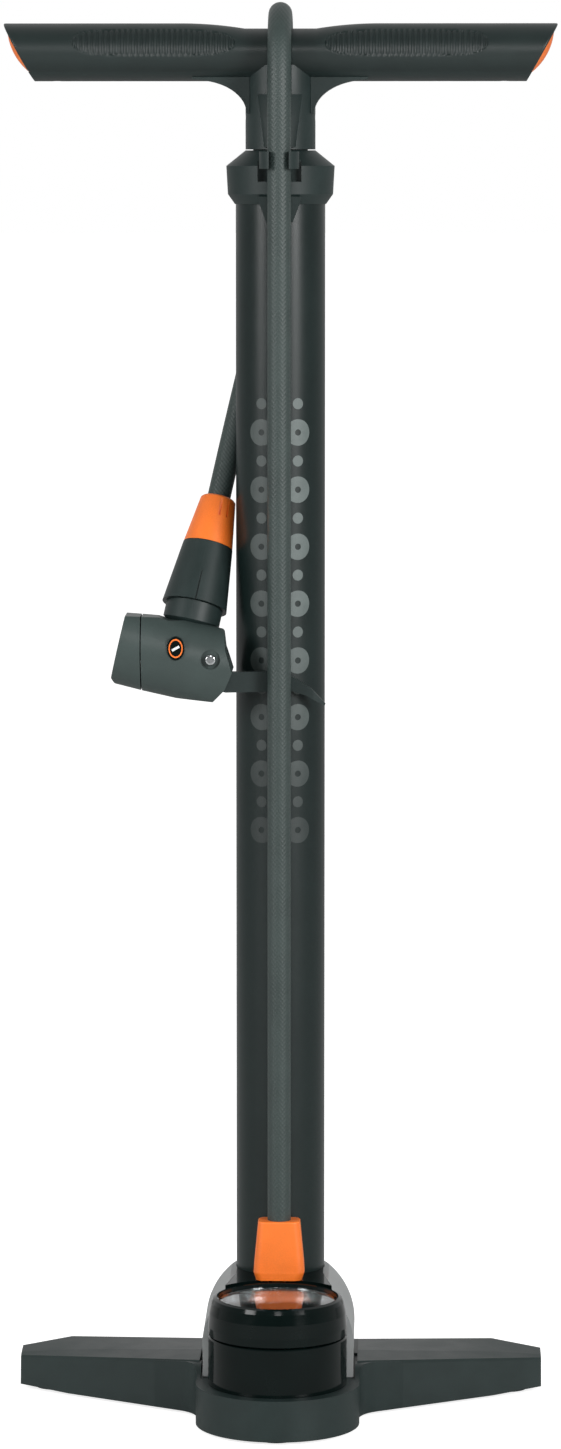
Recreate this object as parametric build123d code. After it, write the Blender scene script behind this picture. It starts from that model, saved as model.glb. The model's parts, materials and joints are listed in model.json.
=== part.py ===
from build123d import *
import math
import os

# Floor pump for bicycle tyres. Millimetres, +Z up, origin on the floor under the barrel's axis.
# +X is the user's right, -Y is the front, where the gauge and the hose are.

# Barrel and its collar
BARREL_R = 20.0
BARREL_BORE_R = 18.5
BARREL_LOW = 28.2
BARREL_TOP = 549.0
COLLAR_LOW = 541.6
COLLAR_TOP = 565.4
SPIGOT_R = 12.2
SPIGOT_TOP = 568.0

# Rod and piston
ROD_R = 6.0
ROD_LOW = 30.0
ROD_TOP = 590.0
PISTON_LOW = 34.0
FIT = 0.05

# Hose
HOSE_R = 5.25
HOSE_Y = -29.0
LOOP_R = 30.0
LOOP_Z = 595.75
HOSE_START = 72.0

# Handle
STEM_LOW = 565.8
STEM_HALF = 15.6
SADDLE_R = 24.4
GRIP_Z = 608.8
GRIP_HALF_DEPTH = 16.0
GRIP_HALF_HEIGHT = 12.8
GRIP_SPLIT = 600.0
GRIP_TIP = 123.7
GRIP_END_FOOT = 109.5
CAP_DOME = 2.2
CAP_DOME_R = 10.4
CAP_PLUG_R = 11.2
ARM_HALF_DEPTH = 12.0
ARM_HALF_HEIGHT = 9.0
WALL_GAP = 0.3
GUIDE_HALF = 5.2
GUIDE_DEPTH = 23.4

# Foot, shroud and gauge
FOOT_LOW = 1.5
HUB_R = 36.5
HUB_TOP = 19.8
ROOT_FILLET = 17.0
GAUGE_Y = -63.3
GAUGE_R = 30.9
RIM_R = 27.7
GLASS_R = 25.4
GAUGE_LOW = 20.0
BEZEL_LOW = 42.0
BEZEL_TOP = 59.0
SHROUD_TOP = 59.2
SHROUD_HALF = 33.7
BLOCK_R = 23.5
BLOCK_LOW = 5.2
BLOCK_TOP = 42.0
VALVE_R = 5.0
ARM_TOP = 19.6
SEAT_Z = 10.0
PORT_Z = 14.0

# Pump head: its neck leans back and to the right, its mouth points left and a little up
NECK_TOP = Vector(-29.0, 4.5, 405.0)
NECK_UP = Vector(0.200, 0.340, 0.919).normalized()
HEAD_Y = -22.0
PIN_X = -30.4
PIN_Z = 340.4
MOUTH = Vector(-71.6, HEAD_Y, 345.1)
MOUTH_OUT = Vector(-0.9693, 0.0, 0.2459).normalized()
CHAMBER_R = 9.0
SEAM_GAP = 0.25


def disc(radius, low, high, x=0.0, y=0.0):
    """An upright cylinder between two heights."""
    return Pos(x, y, (low + high) / 2) * Cylinder(radius, high - low)


def ring(outer, inner, low, high, x=0.0, y=0.0):
    """An upright tube between two heights."""
    return disc(outer, low, high, x, y) - disc(inner, low - 1, high + 1, x, y)


def block(x0, x1, y0, y1, z0, z1):
    """A box given by its low and high coordinates."""
    centre = Pos((x0 + x1) / 2, (y0 + y1) / 2, (z0 + z1) / 2)
    return centre * Box(x1 - x0, y1 - y0, z1 - z0)


def turned(points, x=0.0, y=0.0):
    """A solid of revolution about an upright axis, from (radius, height) points."""
    outline = Polyline([(r, 0, z) for r, z in points], close=True)
    return Pos(x, y, 0) * revolve(make_face(outline), Axis.Z)


def along(start, direction, shape):
    """Stands a shape that was built up the Z axis on a point, along a direction."""
    return Plane(origin=start, z_dir=direction) * shape


def plate(points, y0, y1):
    """An outline in X and Z, carried from y0 to y1."""
    outline = Polyline([(x, y0, z) for x, z in points], close=True)
    return extrude(make_face(outline), amount=y1 - y0, dir=(0, 1, 0))


def section(x, points):
    """A face in the plane at x, from (y, z) points."""
    return make_face(Polyline([(x, y, z) for y, z in points], close=True))


# ---------------------------------------------------------------- foot
def foot_plan():
    """The outline of the hub and its long fillets into the wings, seen from above."""
    hub = Pos(0, GAUGE_Y) * Circle(HUB_R)
    seat = Circle(35.5)
    waist = Pos(0, GAUGE_Y / 2 + 4) * Rectangle(2 * 28, -GAUGE_Y)
    half = [(32.0, -49.4), (56.0, -35.1), (56.0, -5.0)]
    roots = make_face(Polyline(half + [(-x, y) for x, y in reversed(half)], close=True))
    plan = hub + seat + waist + roots
    inner = plan.vertices().filter_by(lambda v: -52 < v.Y < -46 and abs(v.X) > 30)
    return fillet(inner, ROOT_FILLET)


def rim_profile():
    """The hub's height seen from the side: level round the gauge, rising in an S to the wings."""
    rise = Spline([(-61.0, HUB_TOP), (-54.0, 21.6), (-47.5, 24.6)], tangents=[(1, 0), (1, 0.1)])
    path = [(-47.5, 24.6), (-44.0, 24.5), (-41.0, 24.0), (-35.0, 22.8), (-30.0, 21.5), (-20.0, 19.0)]
    path += [(40.0, 17.0), (40.0, FOOT_LOW), (-101.0, FOOT_LOW), (-101.0, HUB_TOP), (-61.0, HUB_TOP)]
    face = make_face(Plane.YZ * (rise + Polyline(path)))
    return extrude(face, amount=70, both=True)


def wing(side):
    """One swept wing: three upright sections, joined by flat faces, bevelled along the front."""
    root = [(-47.4, FOOT_LOW), (-46.1, 24.2), (-44.8, 25.4), (-20.0, 24.5), (28.0, 18.6), (30.0, FOOT_LOW)]
    knee = [(-10.7, FOOT_LOW), (-9.2, 17.1), (-8.1, 18.2), (2.0, 19.0), (25.0, 19.9), (27.0, FOOT_LOW)]
    tip = [(3.2, FOOT_LOW + 1), (5.2, 14.4), (6.2, 15.3), (10.0, 15.9), (20.0, 16.7), (22.0, FOOT_LOW + 1)]
    faces = [section(side * 35.4, root), section(side * 97.0, knee), section(side * 119.4, tip)]
    return loft(faces, ruled=True)


def foot():
    body = Pos(0, 0, FOOT_LOW) * extrude(foot_plan(), amount=26.0 - FOOT_LOW)
    body = body & rim_profile()
    body -= block(-34.5, 34.5, -110, 45, HUB_TOP, 30)
    rear = section(-35.4, [(-5.0, FOOT_LOW), (-5.0, 19.6), (28.0, 18.6), (30.0, FOOT_LOW)])
    body = body + wing(1) + wing(-1) + extrude(rear, amount=2 * 35.4, dir=(1, 0, 0))
    pocket_floor = 5.0
    body -= disc(29.0, pocket_floor, 40, 0, GAUGE_Y)
    body -= disc(BLOCK_R + WALL_GAP, pocket_floor, 40)
    body -= block(-13, 13, -50, 0, pocket_floor, 40)
    for x, y in pad_places():
        body -= disc(9.0, 0, 3.2, x, y)
    for x, y in screw_places():
        body -= disc(2.1, 0, 10, x, y)
        body -= disc(4.2, 0, 3.4, x, y)
    return body


def pad_places():
    return [(0, 0), (0, -86), (-104, 11), (104, 11)]


def screw_places():
    return [(-16, -4), (16, -4), (0, 18)]


# ---------------------------------------------------------------- shroud and air block
def shroud():
    """The cover that rises from the foot around the barrel, cut back round the gauge."""
    side = [(22.2, SHROUD_TOP), (30.6, 48.6), (SHROUD_HALF, 31.0)]
    arc = ThreePointArc(*[(x, 0, z) for x, z in side])
    half = make_face(
        [
            arc,
            Polyline((SHROUD_HALF, 0, 31.0), (SHROUD_HALF, 0, 20.0), (0, 0, 20.0)),
            Polyline((0, 0, 20.0), (0, 0, SHROUD_TOP), (22.2, 0, SHROUD_TOP)),
        ]
    )
    rear = revolve(half, Axis.Z)
    nose = extrude(half, amount=54, dir=(0, -1, 0))
    body = rear + nose + mirror(nose, about=Plane.YZ)
    body -= disc(GAUGE_R + WALL_GAP, 19, 61, 0, GAUGE_Y)
    body -= disc(BARREL_R + 0.2, 19, 61)
    body -= disc(BLOCK_R + WALL_GAP, 19, BLOCK_TOP + WALL_GAP)
    body -= block(-13, 13, -50, -10, 19, 46)
    body -= disc(3.4, 40, 61, 0, HOSE_Y)
    body -= socket_slot(0.05)
    for side_x in (-1, 1):
        body -= block(side_x * 28.4 - 1.8, side_x * 28.4 + 1.8, -18, 10, 19, 42)
    return body


def barrel_socket():
    """The black plate let into the shroud's top between the barrel and the gauge."""
    body = socket_slot(0.0)
    body -= disc(GAUGE_R + WALL_GAP, 19, 61, 0, GAUGE_Y)
    body -= disc(BARREL_R + 0.2, 19, 61)
    return body - disc(5.1, 40, 61, 0, HOSE_Y)


def socket_slot(gap):
    """The room for the black plate, with a gap all round it."""
    half = [(19.6 + gap, 3), (19.6 + gap, -16), (24 + gap, -44)]
    outline = half + [(-x, y) for x, y in reversed(half)]
    face = make_face(Polyline([(x, y, 54.6 - gap) for x, y in outline], close=True))
    return extrude(face, amount=4.7 + gap)


def air_block():
    """The casting under the barrel, with the air passage, the valve chamber and the gauge port."""
    body = disc(BLOCK_R, BLOCK_LOW, BLOCK_TOP)
    body += block(-10, 10, -46, -14, BLOCK_LOW, ARM_TOP)
    body -= disc(BARREL_R + 0.02, 26.0, 50)
    body -= disc(VALVE_R, SEAT_Z, ARM_TOP + 1, 0, HOSE_Y)
    body -= disc(1.6, 7.6, SEAT_Z + 1, 0, HOSE_Y)
    body -= disc(1.6, 7.6, 27, 0, -12)
    body -= along((0, -11, 7.8), (0, -1, 0), Pos(0, 0, 9.2) * Cylinder(1.5, 18.4))
    body -= along((0, HOSE_Y, PORT_Z), (0, -1, 0), Pos(0, 0, 9) * Cylinder(1.5, 18))
    body -= along((0, -36.6, PORT_Z), (0, -1, 0), Pos(0, 0, 5) * Cylinder(3.0, 10))
    for x, y in screw_places():
        body -= disc(1.7, 0, 18, x, y)
    return body


def poppet():
    """The check valve's plug, resting on its seat."""
    top = SEAT_Z + 2.0
    return turned(
        [(0, SEAT_Z), (4.6, SEAT_Z), (4.6, top), (2.2, top), (2.2, top + 1.6), (0, top + 1.6)], 0, HOSE_Y
    )


def poppet_spring():
    coil = Helix(pitch=1.1, height=3.0, radius=3.4)
    wire = Plane(origin=coil @ 0, z_dir=coil % 0) * Circle(0.3)
    return Pos(0, HOSE_Y, SEAT_Z + 2.45) * sweep(wire, path=coil, is_frenet=True)


def base_nipple():
    """The brass outlet: its shank closes the valve chamber and its barb holds the hose."""
    shank_low = SEAT_Z + 6.0
    return turned(
        [(1.5, shank_low), (4.95, shank_low), (4.95, ARM_TOP), (3.0, ARM_TOP), (3.0, 58.0), (3.9, 59.8),
         (3.9, HOSE_START), (1.5, HOSE_START)],
        0,
        HOSE_Y,
    )


def base_boot():
    """The coloured strain relief where the hose leaves the base."""
    levels = [(59.5, 20.6, 12.0), (63.0, 22.9, 13.4), (67.5, 22.4, 13.4), (86.4, 18.8, 12.6)]
    faces = [Pos(0, HOSE_Y, z) * RectangleRounded(w, d, 3.4) for z, w, d in levels]
    body = loft(faces, ruled=True)
    body = fillet(body.faces().sort_by(Axis.Z)[-1].edges(), 0.8)
    body -= disc(HOSE_R, HOSE_START, 90, 0, HOSE_Y)
    return body - disc(4.0, 59, HOSE_START, 0, HOSE_Y)


# ---------------------------------------------------------------- gauge
def gauge_parts():
    """Every piece of the pressure gauge, by node name."""
    made = {}
    cup = turned(
        [(4.6, GAUGE_LOW), (GAUGE_R, GAUGE_LOW), (GAUGE_R, 40.8), (GAUGE_R - 0.6, 41.4), (28.6, 41.4),
         (28.6, 22.2), (4.6, 22.2)],
        0,
        GAUGE_Y,
    )
    made["gauge_housing"] = cup
    made["gauge_bezel"] = turned(
        [(29.6, 41.6), (GAUGE_R, BEZEL_LOW + 0.4), (GAUGE_R, 46.0), (30.4, 52.0), (29.4, 56.6), (28.6, 58.4),
         (RIM_R - 0.6, BEZEL_TOP), (26.4, 58.7), (GLASS_R + 0.3, 57.6), (GLASS_R + 0.3, 49.0), (28.4, 47.0),
         (28.4, 41.6)],
        0,
        GAUGE_Y,
    )
    made["gauge_trim_ring"] = turned(
        [(25.5, 49.6), (25.5, 54.8), (24.2, 54.8), (23.2, 49.6)], 0, GAUGE_Y
    )
    dome = Pos(0, 0, 57.9 - 420) * Sphere(420)
    lens = disc(GLASS_R + 0.2, 55.0, 60) & dome
    made["gauge_lens"] = Pos(0, GAUGE_Y, 0) * lens
    made["gauge_dial"] = ring(24.0, 1.2, 47.2, 48.2, 0, GAUGE_Y)
    needle = plate([(-1.0, 0), (1.0, 0), (0.35, 19.5), (-0.35, 19.5)], 0, 0.5)
    needle = Pos(0, 0, 50.6) * Rot(X=90) * Pos(0, 0, 0) * needle
    needle += disc(2.6, 49.6, 51.2) + disc(0.75, 40.0, 49.6)
    tail = block(-0.9, 0.9, -7, 0, 50.1, 50.6)
    made["gauge_needle"] = Pos(0, GAUGE_Y, 0) * Rot(Z=135) * (needle + tail)
    frame = block(-7, 7, -9, 9, 36.5, 38.0) + block(-7, 7, -9, 9, 43.5, 45.0)
    frame += block(-7, -5.5, -9, 9, 38, 43.5) + block(5.5, 7, -9, 9, 38, 43.5)
    frame -= disc(0.8, 36, 46)
    made["gauge_movement"] = Pos(0, GAUGE_Y, 0) * frame
    made["movement_gear"] = Pos(0, GAUGE_Y, 0) * (ring(3.4, 0.8, 40.4, 41.6))
    pipe = ring(20.0, 17.6, 27.0, 33.0) - block(-30, 0, 0, 30, 20, 40)
    made["bourdon_tube"] = Pos(0, GAUGE_Y, 0) * Rot(Z=0) * pipe
    elbow_end = -46.2
    stem = along((0, elbow_end, PORT_Z), (0, 1, 0), Pos(0, 0, 4.4) * Cylinder(2.9, 8.8))
    stem += block(-4.5, 4.5, GAUGE_Y, elbow_end, PORT_Z - 4.5, PORT_Z + 4.5)
    stem += disc(4.5, PORT_Z - 4.5, 36.4, 0, GAUGE_Y)
    stem += block(-2.5, 17.3, GAUGE_Y - 2.5, GAUGE_Y, 28, 32)
    made["gauge_socket"] = stem
    return made


# ---------------------------------------------------------------- barrel and collar
def collar():
    """The screwed cap at the top of the barrel, with the clip recess and its front tab."""
    body = turned(
        [(20.4, COLLAR_LOW), (23.5, 546.0), (24.2, 558.5), (15.6, COLLAR_TOP), (9.05, COLLAR_TOP), (9.05, 549.1),
         (BARREL_R + 0.02, 549.1), (BARREL_R + 0.02, COLLAR_LOW)]
    )
    body -= block(-9.7, 9.7, -30, -19.0, 551.5, 570)
    body -= block(-3, 3, -20, -14, 558, 562)
    tab = plate([(-9.5, 545.0), (9.5, 545.0), (9.5, 543.5), (5.9, 533.8), (-5.9, 533.8), (-9.5, 543.5)], -23.2, -18)
    tab -= disc(BARREL_R + 0.02, 500, 560)
    spigot = ring(SPIGOT_R, 9.05, COLLAR_TOP - 0.5, SPIGOT_TOP)
    return body + tab + spigot


def hose_clip():
    """The spring clip that holds the hose against the collar."""
    body = ring(8.8, HOSE_R + 0.15, 557.2, 564.8, 0, HOSE_Y)
    body -= block(-4.4, 4.4, -45, HOSE_Y - 1.5, 550, 570)
    body += block(-3, 3, -22, -14, 558, 562)
    return body - disc(HOSE_R + 0.15, 550, 570, 0, HOSE_Y)


def piston_parts():
    made = {}
    made["piston_rod"] = disc(ROD_R, PISTON_LOW - 0.5, ROD_TOP) + disc(3.9, ROD_LOW, PISTON_LOW)
    made["piston_nut"] = Pos(0, 0, 31.0) * extrude(RegularPolygon(7.5, 6), amount=2.4) - disc(3.95, 20, 40)
    head = turned(
        [(ROD_R + 0.05, PISTON_LOW), (18.3, PISTON_LOW), (18.3, 37.0), (15.0, 37.0), (15.0, 41.2), (18.3, 41.2),
         (18.3, 46.0), (ROD_R + 0.05, 46.0)]
    )
    made["piston_head"] = head
    made["piston_seal"] = ring(BARREL_BORE_R - FIT, 15.05, 37.1, 41.1)
    made["piston_washer"] = ring(10.0, ROD_R + 0.05, 46.05, 47.6)
    made["rod_bumper"] = ring(9.6, ROD_R + 0.05, 47.7, 54.0)
    return made


# ---------------------------------------------------------------- handle
def grip_bar(half_depth, half_height, inner, outer):
    """A bar of elliptical section along +X."""
    start = Plane(origin=(inner, 0, GRIP_Z), x_dir=(0, 1, 0), z_dir=(1, 0, 0))
    return extrude(start * Ellipse(half_depth, half_height), amount=outer - inner)


def end_cutter():
    """What lies past the slanting end of the right-hand grip."""
    low, high = GRIP_Z - 25, GRIP_Z + 25
    slope = (GRIP_TIP - GRIP_END_FOOT) / (2 * GRIP_HALF_HEIGHT)
    middle = (GRIP_TIP + GRIP_END_FOOT) / 2
    points = [(middle - 25 * slope, low), (middle + 25 * slope, high), (middle + 60, high), (middle + 60, low)]
    return plate(points, -30, 30)


def end_cap():
    """The coloured plug in the right-hand grip's slanting end."""
    lean = Vector(2 * GRIP_HALF_HEIGHT, 0, -(GRIP_TIP - GRIP_END_FOOT)).normalized()
    middle = (GRIP_TIP + GRIP_END_FOOT) / 2
    ball_r = (CAP_DOME_R**2 + CAP_DOME**2) / (2 * CAP_DOME)
    half_x = CAP_DOME_R / 2
    half_z = math.sqrt(ball_r**2 - half_x**2) + CAP_DOME - ball_r
    edge = Polyline([(0, CAP_DOME), (0, -4.0), (CAP_PLUG_R, -4.0), (CAP_PLUG_R, 0), (CAP_DOME_R, 0)])
    dome = ThreePointArc((CAP_DOME_R, 0), (half_x, half_z), (0, CAP_DOME))
    plug = revolve(make_face(Plane.XZ * (edge + dome)), Axis.Z)
    return along((middle, 0, GRIP_Z), lean, plug)


def right_grip():
    """The soft upper half of the right-hand grip."""
    body = grip_bar(GRIP_HALF_DEPTH, GRIP_HALF_HEIGHT, GUIDE_HALF + 0.1, GRIP_TIP + 4)
    body -= block(0, 140, -20, 20, 580, GRIP_SPLIT)
    body -= grip_bar(ARM_HALF_DEPTH, ARM_HALF_HEIGHT, 0, GRIP_TIP + 4)
    body -= plate([(0, 619.3), (STEM_HALF, 619.3), (44, GRIP_Z + GRIP_HALF_HEIGHT + 0.4), (44, 630), (0, 630)], -20, 20)
    body -= disc(STEM_HALF + 0.05, 590, 603.05)
    return body - end_cutter() - end_cap()


def right_arm():
    """The hard core and lower shell of the right-hand half of the handle."""
    shell = grip_bar(GRIP_HALF_DEPTH, GRIP_HALF_HEIGHT, 0, GRIP_TIP + 4)
    shell &= block(0, 140, -20, 20, 580, GRIP_SPLIT)
    core = grip_bar(ARM_HALF_DEPTH, ARM_HALF_HEIGHT, 0, GRIP_TIP + 4)
    gusset = block(STEM_HALF - 2, 39, -8, 8, 581.7, 600)
    sweep_out = Plane(origin=(39, -10, 581.7), x_dir=(1, 0, 0), z_dir=(0, 1, 0))
    gusset -= extrude(sweep_out * Ellipse(24, 15), amount=20)
    body = shell + core + gusset - end_cutter() - end_cap()
    body -= disc(2.4, 590, 601, 99.7, 0)
    return body - disc(1.5, 600, 606, 99.7, 0)


def guide(side):
    """The tapered rib on the front (-1) or the back (1) of the stem that the hose lies against."""
    faces = []
    for z, half in ((STEM_LOW + 1.0, 7.6), (590.0, 10.4)):
        crest = side * GUIDE_DEPTH
        points = [(-half, side * 11), (half, side * 11), (GUIDE_HALF, crest), (-GUIDE_HALF, crest)]
        faces.append(make_face(Polyline([(x, y, z) for x, y in points], close=True)))
    return loft(faces, ruled=True)


def handle_core():
    """The round stem, the hose's saddle and guides, the bar across it and both arms."""
    stem = disc(STEM_HALF, STEM_LOW, 603)
    saddle = Plane(origin=(-GUIDE_HALF, 0, LOOP_Z), x_dir=(0, 1, 0), z_dir=(1, 0, 0))
    stem += extrude(saddle * Circle(SADDLE_R), amount=2 * GUIDE_HALF)
    stem += guide(-1) + guide(1)
    arm = right_arm()
    body = stem + arm + mirror(arm, about=Plane.YZ)
    body -= disc(ROD_R + 0.02, 560, ROD_TOP + 0.1)
    body -= disc(SPIGOT_R + WALL_GAP, 560, SPIGOT_TOP + 0.4)
    return body - along((-20, 0, 580), (1, 0, 0), Pos(0, 0, 20) * Cylinder(2.0, 40))


# ---------------------------------------------------------------- pump head
def head_solid():
    """The whole body of the head before it is split: an outline in front view, rounded front and back."""
    outline = [
        (-68.6, 359.4), (-54.0, 358.6), (-49.0, 357.0), (-27.5, 357.0), (-24.6, 352.0), (-24.0, 344.6),
        (-20.9, 334.4), (-24.1, 326.8), (-29.6, 320.9), (-46.0, 322.4), (-61.0, 325.6), (-73.6, 328.8),
        (-75.0, 331.6),
    ]
    slab = plate(outline, HEAD_Y - 16, HEAD_Y + 16)
    axis_at = MOUTH + MOUTH_OUT * 12 + Vector(0, 0, 1.2)
    plane = Plane(origin=axis_at, x_dir=(0, 1, 0), z_dir=-MOUTH_OUT)
    return slab & extrude(plane * Ellipse(14.6, 18.0), amount=80)


def neck_groove(out, floor_r, width, start, stop):
    """A slot along the neck: its floor stands floor_r from the neck's axis, on the side out points to."""
    origin = NECK_TOP - NECK_UP * (start + stop) / 2 + out * (floor_r + 3)
    return Plane(origin=origin, x_dir=out, z_dir=-NECK_UP) * Box(6, width, stop - start)


def head_parts():
    made = {}
    whole = head_solid()
    whole = fillet(whole.edges().filter_by(lambda e: e.center().X < -70 and abs(e.center().Y - HEAD_Y) < 2), 1.4)
    ball = Pos(*(NECK_TOP - NECK_UP * 38.0 + Vector(0, -3.0, 0))) * Sphere(19.6)
    shaft = along(NECK_TOP, -NECK_UP, Pos(0, 0, 54.0) * Cylinder(12.8, 14.0)) & ball
    neck = shaft - along(NECK_TOP, -NECK_UP, Pos(0, 0, 37.0) * Cylinder(20, 20.0))
    whole -= along(NECK_TOP, -NECK_UP, Pos(0, 0, 37.0) * Cylinder(16, 20.0)) + shaft
    seam = -61.6
    inside = -MOUTH_OUT
    chamber = along(MOUTH + inside * 2.4, inside, Pos(0, 0, 11) * Cylinder(CHAMBER_R, 22))
    rod_hole = along(MOUTH + inside * 22, inside, Pos(0, 0, 9) * Cylinder(3.05, 18))
    entry = along(MOUTH + MOUTH_OUT * 4, inside, Pos(0, 0, 6) * Cylinder(5.6, 12))
    cap = whole & block(-90, seam - SEAM_GAP, -60, 20, 300, 380)
    cap = cap - chamber - entry
    body = whole & block(seam + SEAM_GAP, 0, -60, 20, 300, 380)
    body = body - chamber - rod_hole
    slot = block(-41, -10, HEAD_Y - 4.3, HEAD_Y + 4.3, 310, 349.5)
    body -= slot
    body -= along((PIN_X, HEAD_Y - 20, PIN_Z), (0, 1, 0), Pos(0, 0, 20) * Cylinder(2.45, 40))
    body -= along((PIN_X, HEAD_Y - 20, PIN_Z), (0, 1, 0), Pos(0, 0, 3.7) * Cylinder(4.3, 7.4))
    badge_plane = Plane(origin=(-45.8, -37.0, 345.5), x_dir=(1, 0, 0), z_dir=(0, 1, 0))
    badge = extrude(badge_plane * Ellipse(3.9, 5.3), amount=3.0)
    body -= badge
    made["head_cap"] = cap
    made["head_body"] = body
    made["head_badge"] = badge
    neck -= along(NECK_TOP, -NECK_UP, Pos(0, 0, 56) * Cylinder(4.0, 40))
    made["head_neck"] = neck
    sleeve = along(NECK_TOP, -NECK_UP, Pos(0, 0, 0) * turned([(5.0, 18.2), (11.3, 18.2), (14.7, 46.8), (5.0, 46.8)]))
    front = (Vector(0, -1, 0) - NECK_UP * Vector(0, -1, 0).dot(NECK_UP)).normalized()
    made["head_sleeve"] = sleeve - neck_groove(front, 12.7, 0.5, 33, 48)
    ferrule = turned([(HOSE_R, -4.6), (7.2, -4.6), (8.0, -3.8), (11.2, 18.0), (HOSE_R, 18.0)])
    ferrule = along(NECK_TOP, -NECK_UP, ferrule)
    right = NECK_UP.cross(front)
    for angle in (12, 36):
        out = front * math.cos(math.radians(angle)) + right * math.sin(math.radians(angle))
        ferrule -= neck_groove(out, 8.1, 1.0, -5, 5)
    made["head_ferrule"] = ferrule
    tail = turned([(1.5, 14.2), (4.9, 14.2), (4.9, 44.4), (3.95, 46.4), (3.95, 55), (1.5, 55)])
    made["head_nipple"] = along(NECK_TOP, -NECK_UP, tail)
    gasket = turned([(4.1, 2.6), (8.9, 2.6), (8.9, 10.6), (4.1, 10.6)])
    made["head_gasket"] = along(MOUTH, inside, gasket)
    plunger = turned([(1.6, 10.9), (CHAMBER_R - FIT, 10.9), (CHAMBER_R - FIT, 19.0), (3.0, 19.0), (3.0, 33.6), (0, 33.6),
                      (0, 21.0), (1.6, 21.0)])
    made["head_plunger"] = along(MOUTH, inside, plunger)
    pin = along((PIN_X, HEAD_Y - 15.2, PIN_Z), (0, 1, 0), Pos(0, 0, 13.5) * Cylinder(2.4, 27))
    made["lever_pin"] = fillet(pin.edges(), 0.8)
    return made


def head_lever():
    """The cam and its blade, which lies between the barrel and the hose."""
    hub = along((PIN_X, HEAD_Y - 4, PIN_Z), (0, 1, 0), Pos(0, 0, 4) * Cylinder(7.8, 8.0))
    side = [(-35.5, 334.0), (-24, 333.8), (-5, 334.1), (1, 333.4), (6, 331.6), (14, 326.6), (20.6, 319.6)]
    side += [(20.2, 318.6), (12, 323.2), (5, 325.4), (-5, 325.0), (-24, 324.7), (-30, 326.5)]
    above = [(-40, -26.0), (-27, -26.0), (-8, -24.0), (-5, -23.6), (-2, -23.4), (15, -23.4), (21, -22.6)]
    above += [(21, -21.2), (17, -20.6), (-40, -20.6)]
    plan = make_face(Polyline([(x, y, 310) for x, y in above], close=True))
    blade = plate(side, -26.0, -20.6) & extrude(plan, amount=30)
    body = hub + blade
    return body - along((PIN_X, HEAD_Y - 20, PIN_Z), (0, 1, 0), Pos(0, 0, 20) * Cylinder(2.45, 40))


# ---------------------------------------------------------------- hose
def hose_route():
    """The hose's route: up the front, over the handle, down the back and round to the head."""
    lift = LOOP_R * math.tan(math.radians(22.5))
    end = NECK_TOP - NECK_UP * 14.0
    above = NECK_TOP + NECK_UP * 19.0
    return [
        (0, HOSE_Y, HOSE_START),
        (0, HOSE_Y, 545.0),
        (0, -LOOP_R, LOOP_Z + lift),
        (0, -lift, LOOP_Z + LOOP_R),
        (0, lift, LOOP_Z + LOOP_R),
        (0, LOOP_R + 0.5, LOOP_Z + lift),
        (-0.6, LOOP_R + 1.6, 566.0),
        (-3.4, LOOP_R + 0.8, 528.0),
        (-9.6, 28.6, 489.0),
        (-17.8, 22.8, 455.0),
        tuple(above),
        tuple(end),
    ]


def corner_radii(points):
    """0.45 of the shorter run beside each corner, over the tangent of half its turn."""
    radii = []
    for before, at, after in zip(points, points[1:], points[2:]):
        run_in = Vector(*at) - Vector(*before)
        run_out = Vector(*after) - Vector(*at)
        half_turn = math.radians(run_in.get_angle(run_out)) / 2
        radii.append(0.45 * min(run_in.length, run_out.length) / math.tan(half_turn))
    return radii


def hose():
    points = hose_route()
    radii = corner_radii(points)
    print("hose radii", [round(r, 1) for r in radii])
    path = FilletPolyline(*points, radius=radii, close=False)
    start = Plane(origin=path @ 0, z_dir=path % 0)
    tube = sweep(start * Circle(HOSE_R), path=path)
    expected = math.pi * HOSE_R**2 * path.length
    print("hose length", round(path.length, 1), "volume ratio", round(tube.volume / expected, 4))
    return tube


# ---------------------------------------------------------------- fasteners and pads
def floor_pads():
    return [disc(8.9, 0, 3.0, x, y) for x, y in pad_places()]


def base_screws():
    made = []
    for x, y in screw_places():
        made.append(disc(4.0, 1.6, 3.3, x, y) + disc(1.65, 3.3, 16.0, x, y))
    return made


def handle_screws():
    made = []
    for x in (-99.7, 99.7):
        made.append(disc(2.3, 598.2, 600.0, x, 0) + disc(1.45, 600.0, 605.8, x, 0))
    return made


def build():
    """Every node of the pump, by name."""
    nodes = {
        "foot": foot(),
        "floor_pads": Compound(floor_pads()),
        "base_screws": Compound(base_screws()),
        "base_shroud": shroud(),
        "barrel_socket": barrel_socket(),
        "air_block": air_block(),
        "check_valve_poppet": poppet(),
        "check_valve_spring": poppet_spring(),
        "base_nipple": base_nipple(),
        "base_boot": base_boot(),
        "barrel_tube": ring(BARREL_R, BARREL_BORE_R, BARREL_LOW, BARREL_TOP),
        "barrel_o_ring": ring(19.6, 17.8, 26.1, 28.1),
        "barrel_collar": collar(),
        "rod_bush": ring(8.95, ROD_R + FIT, 549.1, 561.9) + ring(18.4, ROD_R + FIT, 543.0, 549.1),
        "rod_wiper": ring(8.95, ROD_R + 0.03, 562.0, 565.0),
        "hose_clip": hose_clip(),
        "hose": hose(),
        "handle_core": handle_core(),
        "grip_right": right_grip(),
        "grip_left": mirror(right_grip(), about=Plane.YZ),
        "end_cap_right": end_cap(),
        "end_cap_left": mirror(end_cap(), about=Plane.YZ),
        "handle_screws": Compound(handle_screws()),
        "handle_pin": along((-14.5, 0, 580), (1, 0, 0), Pos(0, 0, 14.5) * Cylinder(1.95, 29)),
        "head_lever": head_lever(),
    }
    nodes.update(gauge_parts())
    nodes.update(piston_parts())
    nodes.update(head_parts())
    rod = nodes["piston_rod"]
    nodes["piston_rod"] = rod - along((-20, 0, 580), (1, 0, 0), Pos(0, 0, 20) * Cylinder(1.97, 40))
    return nodes


for name, shape in build().items():
    export_step(shape, f"parts/{name}.step")
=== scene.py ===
"""A floor pump's looks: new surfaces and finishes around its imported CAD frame."""

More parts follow.
